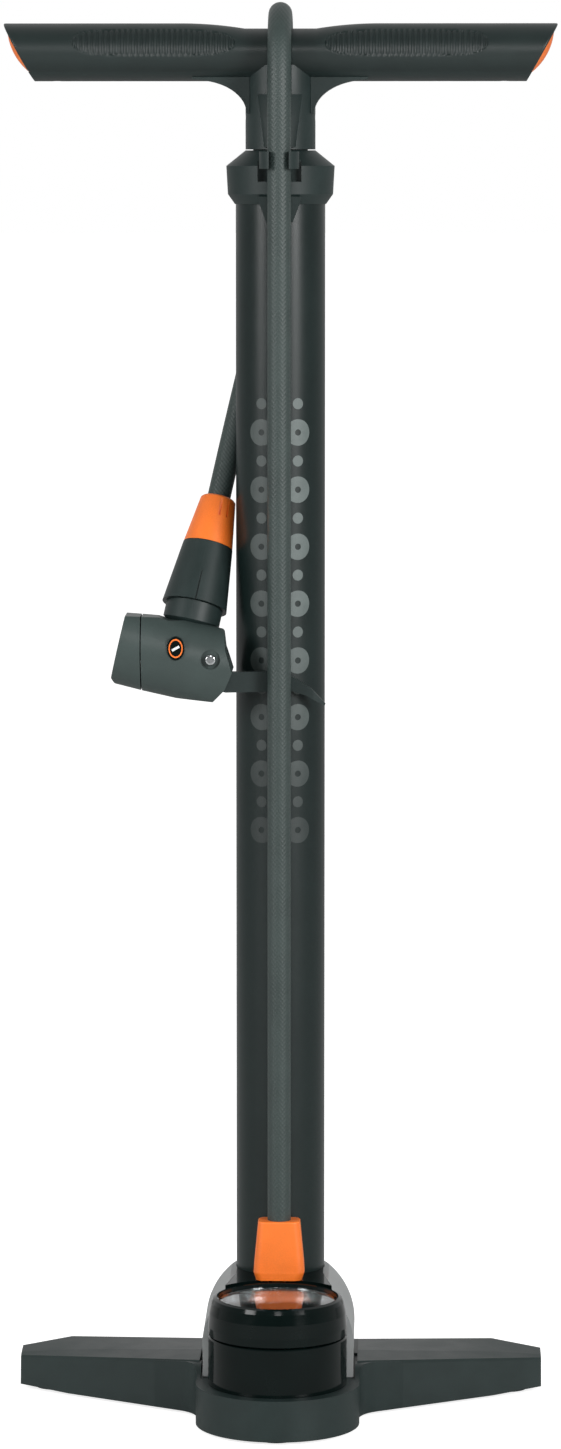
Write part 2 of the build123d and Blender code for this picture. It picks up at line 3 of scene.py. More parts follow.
import json
import math

import bmesh
import bpy
import numpy as np
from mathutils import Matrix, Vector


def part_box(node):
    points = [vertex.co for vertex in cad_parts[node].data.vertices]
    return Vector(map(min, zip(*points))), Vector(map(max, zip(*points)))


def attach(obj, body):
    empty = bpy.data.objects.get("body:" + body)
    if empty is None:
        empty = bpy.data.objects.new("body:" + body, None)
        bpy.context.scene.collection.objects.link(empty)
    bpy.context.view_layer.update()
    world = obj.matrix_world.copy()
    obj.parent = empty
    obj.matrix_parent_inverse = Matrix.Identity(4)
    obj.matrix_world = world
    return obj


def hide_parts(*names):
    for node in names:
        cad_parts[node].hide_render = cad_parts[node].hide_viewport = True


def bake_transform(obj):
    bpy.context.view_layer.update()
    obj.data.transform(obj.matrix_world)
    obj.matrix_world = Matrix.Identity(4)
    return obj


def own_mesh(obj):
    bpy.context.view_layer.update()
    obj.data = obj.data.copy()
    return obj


bl_info = {
    "name": "Floor Pump",
    "version": (1, 0, 0),
    "blender": (4, 5, 0),
    "location": "View3D > Sidebar > Floor Pump",
    "description": "Builds the visible pieces and finishes of a bicycle floor pump",
    "category": "Object",
}

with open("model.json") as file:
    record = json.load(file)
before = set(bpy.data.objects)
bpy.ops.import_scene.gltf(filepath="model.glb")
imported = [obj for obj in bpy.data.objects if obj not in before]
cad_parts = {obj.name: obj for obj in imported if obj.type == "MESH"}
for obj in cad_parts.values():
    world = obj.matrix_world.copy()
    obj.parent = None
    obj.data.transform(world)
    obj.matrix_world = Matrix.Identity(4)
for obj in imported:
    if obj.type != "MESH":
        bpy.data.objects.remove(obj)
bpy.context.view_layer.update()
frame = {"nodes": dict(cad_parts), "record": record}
MM = 0.001


def spread(low, high, count):
    """Evenly spaced numbers from low to high."""
    return np.linspace(low, high, count)


def middle(node):
    """The middle of a CAD node's box."""
    low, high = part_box(node)
    return (np.array(low) + np.array(high)) / 2


def corners(node):
    """The low and high corners of a CAD node's box."""
    return [np.array(corner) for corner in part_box(node)]


BARREL_LOW, BARREL_HIGH = corners("barrel_tube")
BARREL_RADIUS = (BARREL_HIGH[0] - BARREL_LOW[0]) / 2
GRIP_LOW = corners("grip_right")[0]

# Printed discs: how many rows, the lowest row's height, and the steps up to the next row and the small disc.
DISC_ROWS = 8
DISC_LOW = 262
DISC_STEP = 25.5
DISC_ACROSS = 8.4 * MM
SMALL_DISC_SHIFT = 12.8 * MM
SMALL_DISC_SHARE = 0.42

# The dial: its turn in degrees, its ticks and its numbers.
DIAL_TURN = 270
DIAL_TICKS = 60
TICK_END = 22.6 * MM
NUMBER_RADIUS = 16.2 * MM
NUMBER_SIZE = 2.3 * MM
INK_ROOT = 0.02 * MM

# The camera: degrees to the right of the front and looking down, metres away and up, and its lens in mm.
CAMERA_RIGHT = 1.2
CAMERA_DOWN = 6.2337
CAMERA_DISTANCE = 2.3
CAMERA_HEIGHT = 0.5589
CAMERA_LENS = 127.26

# The studio's lamps: name, place in metres, width of the square in metres, watts.
LAMPS = (
    ("key_right", (1.55, -1.8, 1.0), 0.75, 44.0),
    ("key_left", (-1.7, -1.45, 1.0), 0.75, 29.0),
    ("strip_front", (0.1, -2.6, 1.5), 0.5, 12.0),
)
LAMP_TARGET = (0, 0, 0.32)


# ---------------------------------------------------------------- surfaces
def shell(name, rings, ends=True, loop=False, sharp=35):
    """Quads join each closed ring of points to the next; a fan to the mean point closes each end,
    or loop joins the last ring to the first. Faces are turned outwards afterwards."""
    rings = np.asarray(rings, float)
    count, around = rings.shape[:2]
    rows = np.arange(count if loop else count - 1)[:, None]
    cols = np.arange(around)[None, :]
    nxt = (cols + 1) % around
    below, above = rows * around, (rows + 1) % count * around
    quads = np.stack([below + cols, below + nxt, above + nxt, above + cols], -1).reshape(-1, 4)
    points = rings.reshape(-1, 3)
    faces = quads.tolist()
    if ends and not loop:
        hubs = rings[[0, -1]].mean(1)
        first, last = len(points), len(points) + 1
        edge, top = cols[0], (count - 1) * around
        faces += np.stack([edge * 0 + first, nxt[0], edge], -1).tolist()
        faces += np.stack([edge * 0 + last, top + edge, top + nxt[0]], -1).tolist()
        points = np.vstack([points, hubs])
    return mesh_object(name, points, faces, sharp)


def mesh_object(name, points, faces, sharp=35):
    """A smooth-shaded object with its place in its mesh, creased where faces turn more than sharp degrees."""
    mesh = bpy.data.meshes.new(name)
    mesh.from_pydata(np.asarray(points).tolist(), [], faces)
    work = bmesh.new()
    work.from_mesh(mesh)
    bmesh.ops.remove_doubles(work, verts=work.verts, dist=1e-7)
    bmesh.ops.recalc_face_normals(work, faces=work.faces)
    work.to_mesh(mesh)
    work.free()
    mesh.shade_smooth()
    mesh.set_sharp_from_angle(angle=math.radians(sharp))
    made = bpy.data.objects.new(name, mesh)
    bpy.context.scene.collection.objects.link(made)
    return made


def tube_rings(path, radius, around=32):
    """Circles of a radius about the points of a path: each stands square to the path, with its first
    direction as near +X as the path allows, which the path never follows."""
    path = np.asarray(path, float)
    forward = np.gradient(path, axis=0)
    forward /= np.linalg.norm(forward, axis=1, keepdims=True)
    side = np.array([1.0, 0, 0]) - forward * forward[:, :1]
    side /= np.linalg.norm(side, axis=1, keepdims=True)
    up = np.cross(forward, side)
    turn = spread(0, 2 * np.pi, around + 1)[:-1]
    radius = np.broadcast_to(radius, len(path))[:, None, None]
    circle = side[:, None] * np.cos(turn)[None, :, None] + up[:, None] * np.sin(turn)[None, :, None]
    return path[:, None] + circle * radius


def joined(name, parts):
    """One object from several meshes."""
    points, faces, start = [], [], 0
    for part in parts:
        mesh = part.data
        points += [tuple(v.co) for v in mesh.vertices]
        faces += [[start + i for i in face.vertices] for face in mesh.polygons]
        start += len(mesh.vertices)
        bpy.data.objects.remove(part)
    return mesh_object(name, points, faces)


# ---------------------------------------------------------------- materials
def linear(code):
    """An sRGB hex colour as linear red, green, blue and alpha."""
    srgb = np.array([int(code[i : i + 2], 16) for i in (1, 3, 5)]) / 255
    value = np.where(srgb <= 0.04045, srgb / 12.92, ((srgb + 0.055) / 1.055) ** 2.4)
    return (*value.tolist(), 1.0)


def add(tree, kind, values=(), links=(), **settings):
    """Adds a node: settings are its properties, values its sockets, links (socket, node, output)."""
    made = tree.nodes.new(kind)
    for key, value in settings.items():
        setattr(made, key, value)
    for socket, value in dict(values).items():
        made.inputs[socket].default_value = value
    for socket, source, output in links:
        tree.links.new(source.outputs[output], made.inputs[socket])
    return made


def near(name):
    """Two near shades of one of the pump's colours."""
    value = np.array(getattr(bpy.context.scene.pump_colours, name))
    return tuple(np.r_[value[:3] * 0.88, 1.0].tolist()), tuple(np.r_[value[:3] * 1.12, 1.0].tolist())


def finish_of(name, dark, light, rough, grain, relief=0.0, cloud=14.0, **sockets):
    """A solid finish: cloudy colour between two near shades, roughness that wanders between two values,
    and a fine relief. grain is the size of the surface's grain in mm, relief its height in mm,
    cloud the size of the colour's patches in mm. Other settings go to the shader's own sockets."""
    material = bpy.data.materials.new(name)
    material.use_nodes = True
    tree = material.node_tree
    shader = tree.nodes["Principled BSDF"]
    for socket, value in sockets.items():
        shader.inputs[socket.replace("_", " ")].default_value = value
    place = add(tree, "ShaderNodeTexCoord")
    patches = add(
        tree,
        "ShaderNodeTexNoise",
        {"Scale": 1 / (cloud * MM), "Detail": 3.0, "Roughness": 0.55},
        [("Vector", place, "Object")],
    )
    speck = add(
        tree,
        "ShaderNodeTexNoise",
        {"Scale": 1 / (grain * MM), "Detail": 4.0, "Roughness": 0.6},
        [("Vector", place, "Object")],
    )
    blend = add(
        tree,
        "ShaderNodeMixRGB",
        {"Fac": 0.35},
        [("Color1", patches, "Fac"), ("Color2", speck, "Fac")],
    )
    shade = add(tree, "ShaderNodeValToRGB", links=[("Fac", blend, "Color")])
    for element, place_on, code in zip(shade.color_ramp.elements, (0.35, 0.65), (dark, light)):
        element.position = place_on
        element.color = linear(code) if isinstance(code, str) else code
    tree.links.new(shade.outputs["Color"], shader.inputs["Base Color"])
    dull = add(
        tree,
        "ShaderNodeMapRange",
        {"From Min": 0.3, "From Max": 0.7, "To Min": rough[0], "To Max": rough[1]},
        [("Value", blend, "Color")],
    )
    tree.links.new(dull.outputs["Result"], shader.inputs["Roughness"])
    if relief:
        bump = add(
            tree,
            "ShaderNodeBump",
            {"Strength": 1.0, "Distance": relief * MM},
            [("Height", speck, "Fac")],
        )
        tree.links.new(bump.outputs["Normal"], shader.inputs["Normal"])
    return material


def glass_filled_nylon():
    # Moulded in a spark-eroded tool: a fine even grit that breaks up highlights into a soft sheen.
    return finish_of(
        "glass_filled_nylon_moulded", *near("nylon"), (0.42, 0.52), 0.55, 0.02, Specular_IOR_Level=0.35
    )


def head_nylon():
    # The same nylon in a lighter batch, from a finer-grained tool.
    return finish_of(
        "glass_filled_nylon_fine_grain", *near("head"), (0.38, 0.48), 0.4, 0.012, Specular_IOR_Level=0.4
    )


def powder_coat():
    # Baked on to a drawn tube: smooth and satin, with a very slight orange peel.
    return finish_of(
        "satin_powder_coat", *near("tube"), (0.3, 0.36), 2.2, 0.008, cloud=40, Specular_IOR_Level=0.35
    )


def hose_rubber():
    # Rubber cured under a woven wrap, which leaves a fine crossed texture; soft sheen, faint dust.
    material = finish_of("wrapped_rubber", *near("hose"), (0.44, 0.56), 0.8, Specular_IOR_Level=0.45)
    tree = material.node_tree
    place = add(tree, "ShaderNodeTexCoord")
    bands = []
    for lean in (0.9, -0.9):
        turned = add(tree, "ShaderNodeMapping", links=[("Vector", place, "Object")])
        turned.inputs["Rotation"].default_value = (0, lean, 0)
        bands.append(
            add(
                tree,
                "ShaderNodeTexWave",
                {"Scale": 0.314 / (1.3 * MM), "Distortion": 0.0},
                [("Vector", turned, "Vector")],
                bands_direction="Z",
            )
        )
    both = add(tree, "ShaderNodeMath", links=[(0, bands[0], "Fac"), (1, bands[1], "Fac")], operation="ADD")
    bump = add(tree, "ShaderNodeBump", {"Distance": 0.05 * MM}, [("Height", both, "Value")])
    tree.links.new(bump.outputs["Normal"], tree.nodes["Principled BSDF"].inputs["Normal"])
    return material


def soft_grip():
    # Overmoulded thermoplastic elastomer: matt, slightly darker than the nylon.
    return finish_of("soft_touch_elastomer", *near("grip"), (0.4, 0.5), 0.5, 0.01, Specular_IOR_Level=0.42)


def orange_nylon():
    # Self-coloured moulding: even orange, satin, with light scattered just under the skin.
    return finish_of(
        "orange_nylon_moulded", *near("orange"), (0.4, 0.48), 0.5, 0.01, cloud=25, Subsurface_Weight=0.06
    )


def polished_abs():
    # Polished tool: piano black, near mirror smooth.
    return finish_of("polished_black_abs", *near("gloss"), (0.08, 0.12), 3.0, Specular_IOR_Level=0.16)


def shroud_painted_reflection_finish():
    # Fine-grained satin polyamide that is dark in itself. Its grey colour is a painted reflection of the
    # white surroundings at grazing angles.
    return finish_of("grey_shroud_painted_reflection", *near("shroud_painted_reflection"), (0.36, 0.46), 0.5, 0.015, cloud=20)


def chrome():
    # Plated and buffed ring.
    return finish_of("buffed_chrome_plate", "#c9cdcf", "#d4d8da", (0.22, 0.3), 1.5, Metallic=1.0)


def brass():
    # Turned free-cutting brass.
    return finish_of("turned_brass", "#b48d4b", "#c29b58", (0.22, 0.34), 0.6, 0.004, Metallic=1.0)


def zinc_plate():
    # Bright zinc over pressed steel.
    return finish_of("zinc_plated_steel", "#9fa3a6", "#b3b7b9", (0.25, 0.4), 0.8, 0.003, Metallic=1.0)


def rivet_steel():
    # Cold-headed and barrel-polished steel.
    return finish_of("polished_steel_rivet", "#c3c7c9", "#d2d5d6", (0.12, 0.22), 0.8, 0.003, Metallic=1.0)


def spring_wire():
    # Cold-drawn music wire, lightly oiled.
    return finish_of("cold_drawn_spring_wire", "#7d8082", "#8f9294", (0.25, 0.35), 0.4, 0.002, Metallic=1.0)


def hard_chrome():
    # Ground and hard-chromed rod.
    return finish_of("hard_chromed_rod", "#b8bcbe", "#c6c9cb", (0.1, 0.18), 0.5, 0.001, Metallic=1.0)


def die_cast():
    # Zinc-aluminium casting with its dull cast skin.
    return finish_of("die_cast_alloy", "#85898b", "#9a9ea0", (0.45, 0.6), 0.9, 0.03, Metallic=1.0)


def nitrile():
    # Black nitrile seals and pads, matt from the mould.
    return finish_of("moulded_nitrile_rubber", "#1c1f1f", "#242828", (0.6, 0.75), 0.6, 0.03)


def acetal():
    # Natural acetal, waxy and slightly translucent.
    return finish_of("natural_acetal", "#d8d4c8", "#e3dfd4", (0.3, 0.4), 0.8, 0.004, Subsurface_Weight=0.1)


def dial_card():
    # Lithographed aluminium dial with a warm white ground.
    return finish_of("printed_dial_card", *near("dial"), (0.5, 0.6), 0.4, 0.0, cloud=8)


def dial_ink():
    # Screen-printed black ink.
    return finish_of("screen_printed_black_ink", *near("ink"), (0.5, 0.6), 0.4)


def needle_paint():
    # Dipped orange-red enamel.
    return finish_of("needle_enamel", *near("needle"), (0.25, 0.35), 0.6)


def print_grey():
    # Screen-printed grey marks, blended into the tube's paint towards the bottom and the left. This is
    # painted shade, so the marks show brightest at the top right, where the lamps' highlight falls.
    material = finish_of("screen_printed_grey_ink_painted_shade", *near("print_ink"), (0.4, 0.52), 0.7, 0.006, cloud=9)
    tree = material.node_tree
    shader = tree.nodes["Principled BSDF"]
    ink = shader.inputs["Base Color"].links[0].from_node
    place = add(tree, "ShaderNodeTexCoord")
    split = add(tree, "ShaderNodeSeparateXYZ", links=[("Vector", place, "Object")])
    # Painted shade: low on the barrel, and left of its front line, the ink gives way to the paint.
    up = add(
        tree,
        "ShaderNodeMapRange",
        {"From Min": 0.27, "From Max": 0.37, "To Min": 0.12, "To Max": 0.95},
        [("Value", split, "Z")],
    )
    right = add(
        tree,
        "ShaderNodeMapRange",
        {"From Min": -0.004, "From Max": 0.004, "To Min": 0.4, "To Max": 1.0},
        [("Value", split, "X")],
    )
    cover = add(tree, "ShaderNodeMath", links=[(0, up, "Result"), (1, right, "Result")], operation="MULTIPLY")
    paint = tuple(bpy.context.scene.pump_colours.tube)
    mix = add(
        tree,
        "ShaderNodeMixRGB",
        {"Color1": paint},
        [("Fac", cover, "Value"), ("Color2", ink, "Color")],
    )
    tree.links.new(mix.outputs["Color"], shader.inputs["Base Color"])
    return material


def badge_white():
    # Printed white under the badge's clear dome.
    return finish_of("printed_badge_white", "#d9dcdb", "#e6e8e7", (0.25, 0.35), 0.8)


def clear_polycarbonate():
    # Injection-moulded window: clear, faintly blue, with polished faces.
    return finish_of(
        "clear_polycarbonate", "#f4f8f8", "#ffffff", (0.02, 0.05), 4.0, Transmission_Weight=1.0, IOR=1.585
    )


FINISHES = {
    "nylon_black": glass_filled_nylon,
    "painted_tube": powder_coat,
    "hose_rubber": hose_rubber,
    "soft_grip": soft_grip,
    "orange_plastic": orange_nylon,
    "gloss_black": polished_abs,
    "badge_black": polished_abs,
    "shroud_grey": shroud_painted_reflection_finish,
    "chrome_trim": chrome,
    "brass": brass,
    "zinc_steel": zinc_plate,
    "pin_steel": rivet_steel,
    "spring_steel": spring_wire,
    "chromed_rod": hard_chrome,
    "die_cast": die_cast,
    "seal_rubber": nitrile,
    "pad_rubber": nitrile,
    "bush_plastic": acetal,
    "dial_white": dial_card,
    "needle_orange": needle_paint,
    "clear_lens": clear_polycarbonate,
    "dial_ink": dial_ink,
    "print_grey": print_grey,
    "badge_white": badge_white,
}
NODE_FINISHES = {"head_body": head_nylon, "head_cap": head_nylon}
made_finishes = {}


def finish(slot):
    """The material of a slot."""
    return made_by(FINISHES[slot])


def made_by(maker):
    """The material that a function makes, made once."""
    if maker not in made_finishes:
        made_finishes[maker] = maker()
    return made_finishes[maker]


def dress(piece, slot):
    """Gives a new piece the material of a slot, and no other."""
    piece.data.materials.clear()
    piece.data.materials.append(finish(slot))


# ---------------------------------------------------------------- pieces
def hose_route():
    """The hose's route in metres: up the front, over the handle, down the back, round to the head."""
    loop = 30.0
    loop_z = 595.75
    lift = loop * math.tan(math.radians(22.5))
    neck_top = np.array([-29.0, 4.5, 405.0])
    neck_up = np.array([0.200, 0.340, 0.919])
    neck_up /= np.linalg.norm(neck_up)
    points = [
        (0, -29.0, 72.0),
        (0, -29.0, 545.0),
        (0, -loop, loop_z + lift),
        (0, -lift, loop_z + loop),
        (0, lift, loop_z + loop),
        (0, loop + 0.5, loop_z + lift),
        (-0.6, loop + 1.6, 566.0),
        (-3.4, loop + 0.8, 528.0),
        (-9.6, 28.6, 489.0),
        (-17.8, 22.8, 455.0),
        tuple(neck_top + neck_up * 19.0),
        tuple(neck_top - neck_up * 14.0),
    ]
    return np.array(points) * MM


def smooth_path(points):
    """Points along the quadratic NURBS spline that has the route as its control points."""
    curve = bpy.data.curves.new("route", "CURVE")
    curve.dimensions = "3D"
    spline = curve.splines.new("NURBS")
    spline.points.add(len(points) - 1)
    spline.points.foreach_set("co", np.c_[points, np.ones(len(points))].ravel())
    spline.order_u = 3
    spline.use_endpoint_u = True
    spline.resolution_u = 24
    holder = bpy.data.objects.new("route", curve)
    bpy.context.scene.collection.objects.link(holder)
    line = bpy.data.meshes.new_from_object(holder)
    path = np.empty(len(line.vertices) * 3)
    line.vertices.foreach_get("co", path)
    bpy.data.objects.remove(holder)
    return path.reshape(-1, 3)


def build_hose(sizes):
    """The hose: a circle about each point of a quadratic NURBS curve, square to the curve."""
    route = hose_route()
    path = smooth_path(route)
    hose = shell("hose_line", tube_rings(path, sizes.hose_diameter / 2))
    dress(hose, "hose_rubber")
    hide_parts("hose")
    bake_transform(hose)


def grip_surface(side, sizes):
    """One grip's soft half. Its section is the upper part of an ellipse, closed by a flat underneath.
    Along X the section is drawn out to the slanting end, where it rounds over. Ribs are a cosine wave
    along X, faded in inside a lens-shaped patch of the front and top."""
    depth = 16.0 * MM
    height = 12.8 * MM
    centre_z = 608.8 * MM
    split_z = GRIP_LOW[2]
    inner_x, tip_x, foot_x = GRIP_LOW[0], 123.7 * MM, 109.5 * MM
    start = math.asin((split_z - centre_z) / height)
    angle = spread(start, np.pi - start, 97)
    along = np.r_[spread(0, 1, 420), np.ones(6)][:, None]
    over = np.r_[np.zeros(420), spread(0.15, 1, 6)][:, None] * np.pi / 2
    round_r = 1.1 * MM
    shrink = round_r * (1 - np.cos(over))
    y = -np.cos(angle)[None, :] * (depth - shrink)
    z = centre_z + np.sin(angle)[None, :] * (height - shrink)
    end_x = (tip_x + foot_x) / 2 + (z - centre_z) / height * (tip_x - foot_x) / 2
    x = inner_x + (end_x - round_r - inner_x) * along + round_r * np.sin(over)
    taper = np.clip((44 * MM - x) / (28 * MM), 0, 1) ** 2
    z = z - taper * 2.3 * MM * np.clip((z - centre_z) / height, 0, 1)
    patch_x = (x - 56 * MM) / (36 * MM)
    patch_a = (angle[None, :] - 0.36) / 0.5
    inside = 1 - np.abs(patch_x) ** 5 - np.abs(patch_a) ** 2.4
    fade = np.clip(inside / 0.12, 0, 1)
    fade = fade * fade * (3 - 2 * fade)
    wave = 0.5 - 0.5 * np.cos(2 * np.pi * x / sizes.rib_pitch)
    border = np.exp(-(((inside - 0.02) / 0.03) ** 2)) * 0.5
    rise = sizes.rib_height * (fade * (wave - 0.75) - border)
    y = y + rise * -np.cos(angle)[None, :]
    z = z + rise * np.sin(angle)[None, :]
    upper = np.stack([side * x, y, z], -1)
    share = spread(0, 1, 12)[None, 1:-1, None]
    under = upper[:, -1:] * (1 - share) + upper[:, :1] * share
    return np.concatenate([upper, under], 1)


def build_grips(sizes):
    """Both grips: the right one's surface, and the same with X turned round for the left."""
    for side, name in ((1, "right"), (-1, "left")):
        grip = shell(f"grip_{name}_skin", grip_surface(side, sizes), sharp=40)
        dress(grip, "soft_grip")
        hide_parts(f"grip_{name}")
        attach(grip, "handle")


def on_barrel(across, height, lift):
    """Points on the barrel's front: across is an arc length from its front line, lift stands off it."""
    turn = across / BARREL_RADIUS
    radius = BARREL_RADIUS + lift
    return np.stack([radius * np.sin(turn), -radius * np.cos(turn), height + 0 * turn], -1)


def print_mark(outline_across, outline_height, hole):
    """A thin mark: the band between an outline and the same outline drawn in to hole times its size."""
    centre = outline_across.mean(), outline_height.mean()
    steps = np.r_[1, 1, spread(1, hole, 6)[1:], hole]
    lifts = np.r_[-0.03, 0.05, np.full(5, 0.05), -0.03] * MM
    rings = []
    for step, lift in zip(steps, lifts):
        across = centre[0] + (outline_across - centre[0]) * step
        height = centre[1] + (outline_height - centre[1]) * step
        rings.append(on_barrel(across, height, lift))
    return rings


def build_print(sizes):
    """Printed decoration: two mirrored columns of large and small discs up the barrel's front. Each is the
    band between a circle and its smaller copy, laid on the cylinder by arc length."""
    turn = spread(0, 2 * np.pi, 49)[:-1]
    marks = []
    discs = (
        (sizes.disc_radius, 0.0, 0.24),
        (sizes.disc_radius * SMALL_DISC_SHARE, SMALL_DISC_SHIFT, 0.02),
    )
    for row in range(DISC_ROWS):
        height = (DISC_LOW + row * DISC_STEP) * MM
        for side in (-1, 1):
            for radius, shift, hole in discs:
                across = side * DISC_ACROSS + radius * np.cos(turn)
                up = height + shift + radius * np.sin(turn)
                marks.append(shell("mark", print_mark(across, up, hole), loop=True))
    ink = joined("barrel_print", marks)
    dress(ink, "print_grey")
    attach(ink, "pump_body")


def slab(outline, low, high):
    """A flat mark: a closed outline of (x, y) points carried from low to high."""
    return shell("mark", [np.c_[outline, np.full(len(outline), level)] for level in (low, high)])


def bar(centre, direction, length, width):
    """The four corners of a rectangle about a centre, its length along a direction."""
    direction = np.asarray(direction) / np.linalg.norm(direction)
    square = np.array([-direction[1], direction[0]])
    signs = np.array([(-1, -1), (1, -1), (1, 1), (-1, 1)]) / 2
    return np.asarray(centre) + signs[:, :1] * length * direction + signs[:, 1:] * width * square


# The seven strokes of a digit: which ones each figure has, then each one's middle (x, y) and direction.
SEGMENTS = {"0": "abcdef", "1": "bc", "2": "abged", "3": "abgcd", "4": "fgbc", "5": "afgcd",
            "6": "afgedc", "7": "abc", "8": "abcdefg", "9": "abcdfg"}
STROKES = {"a": (0, 1, 1, 0), "b": (0.5, 0.5, 0, 1), "c": (0.5, -0.5, 0, 1), "d": (0, -1, 1, 0),
           "e": (-0.5, -0.5, 0, 1), "f": (-0.5, 0.5, 0, 1), "g": (0, 0, 1, 0)}


def digits(text, centre, size):
    """Outlines of a number's strokes, each digit drawn from seven straight ones."""
    made = []
    for place, figure in enumerate(text):
        shift = (place - (len(text) - 1) / 2) * size * 0.85
        for key in SEGMENTS[figure]:
            x, y, across, up = STROKES[key]
            middle_xy = np.asarray(centre) + (shift + x * size * 0.5, y * size * 0.5)
            made.append(bar(middle_xy, (across, up), size * 0.56, size * 0.15))
    return made


def build_dial(sizes):
    """Ticks and numbers over 270 degrees of the dial, clockwise from the needle's rest. A tick at share t
    stands at angle a0 - 270 t, square to the radius."""
    low, high = corners("gauge_dial")
    centre = (low[:2] + high[:2]) / 2
    face = high[2]
    toward = middle("gauge_needle")[:2] - centre
    start = math.atan2(toward[1], toward[0])
    marks = []
    for tick in range(DIAL_TICKS + 1):
        angle = start - math.radians(DIAL_TURN) * tick / DIAL_TICKS
        out = np.array([math.cos(angle), math.sin(angle)])
        major = tick % 10 == 0
        length = (3.6 if major else 2.4 if tick % 5 == 0 else 1.5) * MM
        outline = bar(centre + out * (TICK_END - length / 2), out, length, (0.55 if major else 0.28) * MM)
        marks.append(slab(outline, face - INK_ROOT, face + sizes.ink_height))
        if major:
            for stroke in digits(str(tick // 5), centre + out * NUMBER_RADIUS, NUMBER_SIZE):
                marks.append(slab(stroke, face - INK_ROOT, face + sizes.ink_height))
    ink = joined("dial_marks", marks)
    dress(ink, "dial_ink")
    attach(ink, "pump_body")


def build_badge(sizes):
    """The head badge's decoration: an oval ring x^2/a^2 + z^2/b^2 = 1 and a short bar, just proud of it."""
    low, high = corners("head_badge")
    turn = spread(0, 2 * np.pi, 65)[:-1]
    across, up = (high[0] - low[0]) / 2, (high[2] - low[2]) / 2
    centre = (low + high) / 2
    lift = sizes.ink_height
    oval = np.c_[across * 0.8 * np.cos(turn), up * 0.8 * np.sin(turn)]
    for name, slot, outline, hole in (
        ("badge_ring", "orange_plastic", oval, 0.84),
        ("badge_bar", "badge_white", bar((0, 0), (1, 0.55), across * 0.95, up * 0.2), 0.0),
    ):
        inner = outline * hole
        pairs = ((outline, INK_ROOT), (outline, -lift), (inner, -lift), (inner, INK_ROOT))
        rings = np.array([np.c_[line[:, 0], np.full(len(line), y), line[:, 1]] for line, y in pairs])
        rings = rings if hole else rings[:2]
        place = np.array([centre[0], low[1], centre[2]])
        made = shell(name, rings + place, loop=bool(hole))
        dress(made, slot)
        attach(made, "pump_body")


def build_spring(sizes):
    """The check valve's coil: p(t) = (R cos t, R sin t, t pitch / 2 pi), with a circle of the wire's radius
    about each point."""
    low, high = corners("check_valve_spring")
    wire = sizes.spring_wire / 2
    radius = (high[1] - low[1]) / 2 - wire
    centre = (low + high) / 2
    rise = high[2] - low[2] - 2 * wire
    turn = spread(0, 2 * np.pi * rise / sizes.spring_pitch, 150)
    out = np.stack([np.cos(turn), np.sin(turn), 0 * turn], -1)
    height = low[2] + wire + rise * turn / turn[-1]
    line = out * radius + np.stack([0 * turn + centre[0], 0 * turn + centre[1], height], -1)
    around = spread(0, 2 * np.pi, 13)[:-1]
    up = np.array([0, 0, 1.0])
    circle = np.cos(around)[None, :, None] * out[:, None] + np.sin(around)[None, :, None] * up
    rings = line[:, None] + wire * circle
    coil = shell("check_valve_coil", rings)
    dress(coil, "spring_steel")
    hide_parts("check_valve_spring")
    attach(coil, "pump_body")
    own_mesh(coil)


def build_finishes():
    """Gives every CAD node the finish of its slot in the record."""
    slots = {part["node"]: part["material_slot"] for part in frame["record"]["subparts"]}
    for node, made in frame["nodes"].items():
        for place in made.material_slots:
            place.material = made_by(NODE_FINISHES.get(node, FINISHES[slots[node]]))


# ---------------------------------------------------------------- stage
def build_stage():
    """A wide pale floor, soft lights at both sides and a camera in front, a little above the handle."""
    turn = spread(0, 2 * np.pi, 65)[:-1]
    edge = np.stack([40 * np.cos(turn), 40 * np.sin(turn), 0 * turn], -1)
    floor = mesh_object("floor", edge, [list(range(64))])
    paint = finish_of("pale_floor_paint", "#cecece", "#d3d3d2", (0.8, 0.9), 30.0, cloud=900,
                      Emission_Color=(1, 1, 1, 1), Specular_IOR_Level=0.1)
    tree = paint.node_tree
    look = add(tree, "ShaderNodeLightPath")
    glow = add(tree, "ShaderNodeMath", {1: 0.8}, [(0, look, "Is Camera Ray")], operation="MULTIPLY")
    tree.links.new(glow.outputs["Value"], tree.nodes["Principled BSDF"].inputs["Emission Strength"])
    floor.data.materials.append(paint)
    scene = bpy.context.scene
    scene.view_settings.view_transform = "Standard"
    world = bpy.data.worlds.new("studio")
    scene.world = world
    world.use_nodes = True
    tree = world.node_tree
    back = tree.nodes["Background"]
    path = add(tree, "ShaderNodeLightPath")
    where = add(tree, "ShaderNodeTexCoord")
    split = add(tree, "ShaderNodeSeparateXYZ", links=[("Vector", where, "Generated")])
    level = add(
        tree,
        "ShaderNodeMapRange",
        {"From Min": -1.0, "From Max": 1.0, "To Min": 0.08, "To Max": 0.75},
        [("Value", split, "Y")],
    )
    seen = add(
        tree,
        "ShaderNodeMath",
        links=[(0, path, "Is Camera Ray"), (1, level, "Result")],
        operation="MAXIMUM",
    )
    tree.links.new(seen.outputs[0], back.inputs["Strength"])
    back.inputs["Color"].default_value = (1, 1, 1, 1)
    for name, place, size, power in LAMPS:
        light = bpy.data.lights.new(name, "AREA")
        light.size = size
        light.energy = power
        lamp = bpy.data.objects.new(name, light)
        scene.collection.objects.link(lamp)
        lamp.location = place
        aim = np.array(LAMP_TARGET) - np.array(place)
        flat = math.hypot(aim[0], aim[1])
        lamp.rotation_euler = (math.atan2(flat, -aim[2]), 0, math.atan2(-aim[0], aim[1]))
    camera = bpy.data.cameras.new("camera")
    camera.lens = CAMERA_LENS
    camera.clip_end = 200
    eye = bpy.data.objects.new("camera", camera)
    scene.collection.objects.link(eye)
    azimuth = math.radians(CAMERA_RIGHT)
    eye.location = (CAMERA_DISTANCE * math.sin(azimuth), -CAMERA_DISTANCE * math.cos(azimuth), CAMERA_HEIGHT)
    eye.rotation_euler = (math.radians(90 - CAMERA_DOWN), 0, azimuth)
    scene.camera = eye


